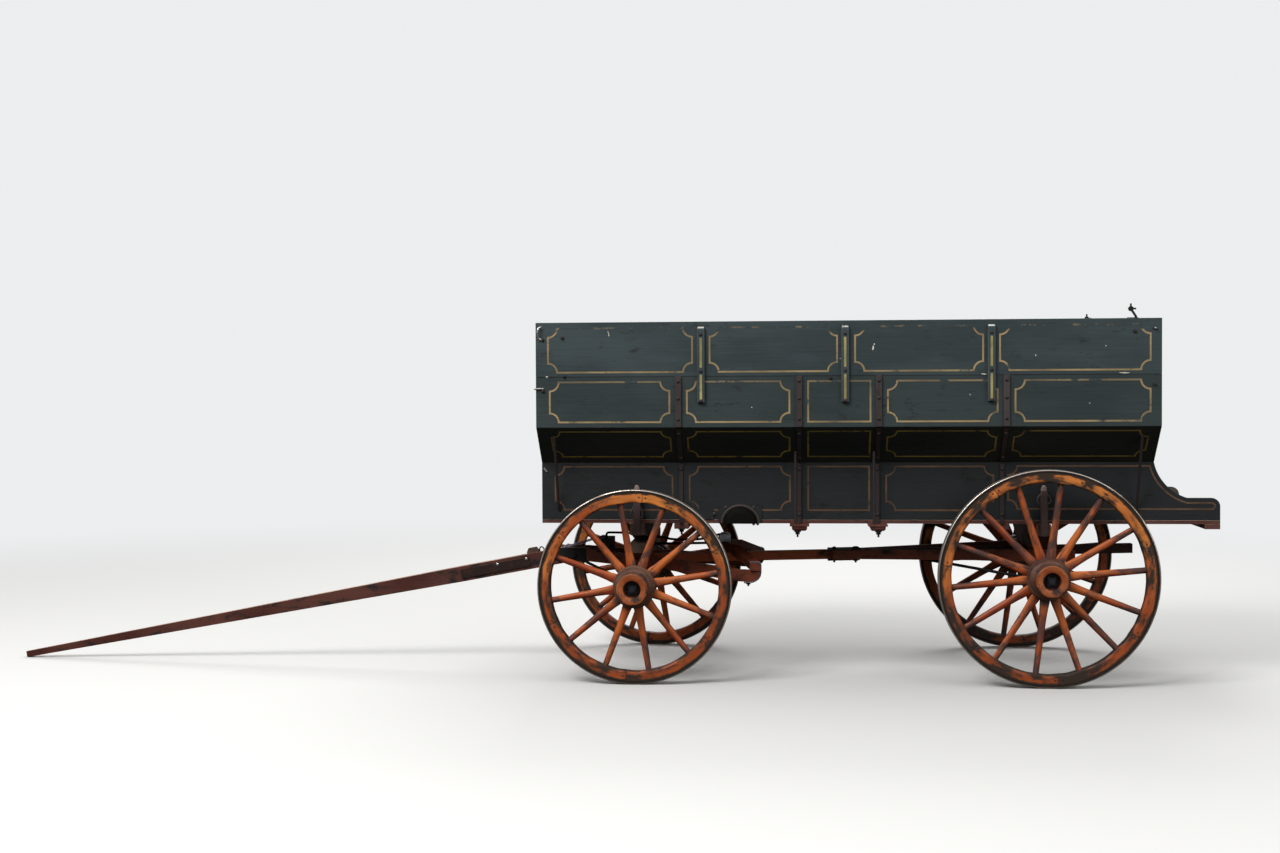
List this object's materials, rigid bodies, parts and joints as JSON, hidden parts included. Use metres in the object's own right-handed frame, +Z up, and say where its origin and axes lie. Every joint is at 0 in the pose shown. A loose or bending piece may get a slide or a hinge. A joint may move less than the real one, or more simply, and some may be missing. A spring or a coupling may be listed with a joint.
{
  "type": "farm wagon with flared box",
  "caption": "Horse-drawn wooden farm wagon: flared board box with scroll wings at the tail, spoked wheels on a steering gear, and a tongue resting on the ground.",
  "frame": {"origin": "on the ground, at the middle of the whole length from the tongue's tip to the tail of the scroll wings, midway between the wheels", "axes": "+X towards the tail (the tongue points to -X), +Y towards the wagon's right side, +Z up"},
  "size_m": [6.6306, 1.726, 1.9595],
  "materials": {
    "green_paint": "aged blue-green oil paint on boards",
    "red_paint": "weathered dark red oil paint on hardwood",
    "wheel_paint": "sun-faded orange-red paint on hardwood",
    "black_iron": "blackened, slightly rusty",
    "worn_iron": "worn bright by the ground",
    "bare_wood": "bare, greyed planks"
  },
  "bodies": {
    "wagon": {"lower_side_left": "green_paint", "flare_board_left": "green_paint", "second_board_left": "green_paint", "top_board_left": "green_paint", "lower_side_right": "green_paint", "flare_board_right": "green_paint", "second_board_right": "green_paint", "top_board_right": "green_paint", "front_end_lower": "green_paint", "front_end_flared": "green_paint", "front_end_top": "green_paint", "rear_end_flared": "green_paint", "rear_end_top": "green_paint", "top_cleats": "green_paint", "floor_boards": "bare_wood", "cross_sills": "red_paint", "ribs": "red_paint", "side_strips": "black_iron", "flare_rods": "black_iron", "rub_irons": "black_iron", "rim_hooks": "black_iron", "gate_pins": "black_iron", "upper_wear_plate": "black_iron", "king_pin": "black_iron", "bolster_stakes": "black_iron", "rear_skeins": "black_iron", "reach_coupling": "black_iron", "reach_braces": "black_iron", "front_bolster": "red_paint", "rear_bolster": "red_paint", "rear_axle": "red_paint", "reach": "red_paint", "rear_hounds": "red_paint"},
    "front_gear": {"front_axle": "red_paint", "front_skeins": "black_iron", "sand_board": "red_paint", "lower_wear_plate": "black_iron", "front_hounds": "red_paint", "hound_tie": "red_paint", "jaw_irons": "black_iron", "tongue_bolt": "black_iron", "sway_bar": "red_paint", "sway_bar_caps": "worn_iron", "hound_braces": "black_iron"},
    "tongue": {"tongue_pole": "red_paint", "tongue_irons": "black_iron"},
    "tail_gate": {"tail_gate": "green_paint", "gate_straps": "black_iron"},
    "front_left_wheel": {"front_left_hub": "red_paint", "front_left_rim": "wheel_paint", "front_left_tyre": "worn_iron"},
    "front_right_wheel": {"front_right_hub": "red_paint", "front_right_rim": "wheel_paint", "front_right_tyre": "worn_iron"},
    "rear_left_wheel": {"rear_left_hub": "red_paint", "rear_left_rim": "wheel_paint", "rear_left_tyre": "worn_iron"},
    "rear_right_wheel": {"rear_right_hub": "red_paint", "rear_right_rim": "wheel_paint", "rear_right_tyre": "worn_iron"}
  },
  "joints": [
    {"name": "steering", "type": "hinge", "parent": "wagon", "child": "front_gear", "pos_m": [0.29133, 0, 0.508], "axis": [0, 0, 1], "range_deg": [-16, 16]},
    {"name": "tongue_lift", "type": "hinge", "parent": "front_gear", "child": "tongue", "pos_m": [-0.11367, 0, 0.615], "axis": [0, 1, 0], "range_deg": [0, 47]},
    {"name": "tail_gate_drop", "type": "hinge", "parent": "wagon", "child": "tail_gate", "pos_m": [2.98733, 0, 0.8575], "axis": [0, 1, 0], "range_deg": [0, 90]},
    {"name": "front_left_wheel_turn", "type": "hinge", "parent": "front_gear", "child": "front_left_wheel", "pos_m": [0.29133, -0.711, 0.508], "axis": [0, 1, 0], "continuous": true},
    {"name": "front_right_wheel_turn", "type": "hinge", "parent": "front_gear", "child": "front_right_wheel", "pos_m": [0.29133, 0.711, 0.508], "axis": [0, 1, 0], "continuous": true},
    {"name": "rear_left_wheel_turn", "type": "hinge", "parent": "wagon", "child": "rear_left_wheel", "pos_m": [2.41333, -0.711, 0.559], "axis": [0, 1, 0], "continuous": true},
    {"name": "rear_right_wheel_turn", "type": "hinge", "parent": "wagon", "child": "rear_right_wheel", "pos_m": [2.41333, 0.711, 0.559], "axis": [0, 1, 0], "continuous": true}
  ]
}
